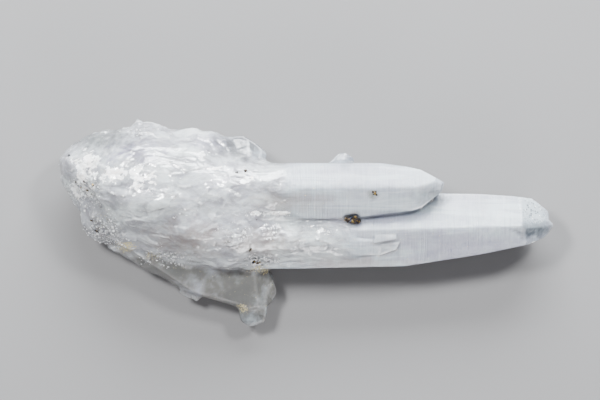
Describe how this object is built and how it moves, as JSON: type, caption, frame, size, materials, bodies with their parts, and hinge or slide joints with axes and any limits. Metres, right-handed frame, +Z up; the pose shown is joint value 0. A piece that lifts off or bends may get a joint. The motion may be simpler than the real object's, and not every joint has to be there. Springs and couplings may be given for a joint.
{
  "type": "quartz crystal cluster",
  "caption": "Milky quartz cluster of parallel prismatic crystals with pointed ends, broken at the root, with a grain of brassy sulfide in a groove",
  "frame": {"origin": "on the surface that the specimen lies on, under the middle of its bounding box", "axes": "+X along the crystals to their free tips, +Y across them towards the side with the small stub crystal, +Z up from the surface that it lies on"},
  "size_m": [0.124, 0.053, 0.0262],
  "materials": {
    "quartz": "glassy, milky crystal faces and duller broken faces",
    "sulfide": "dull metallic with brassy and dark faces"
  },
  "bodies": {
    "root": {"quartz_cluster": "quartz", "sulfide_grain": "sulfide"}
  },
  "joints": []
}
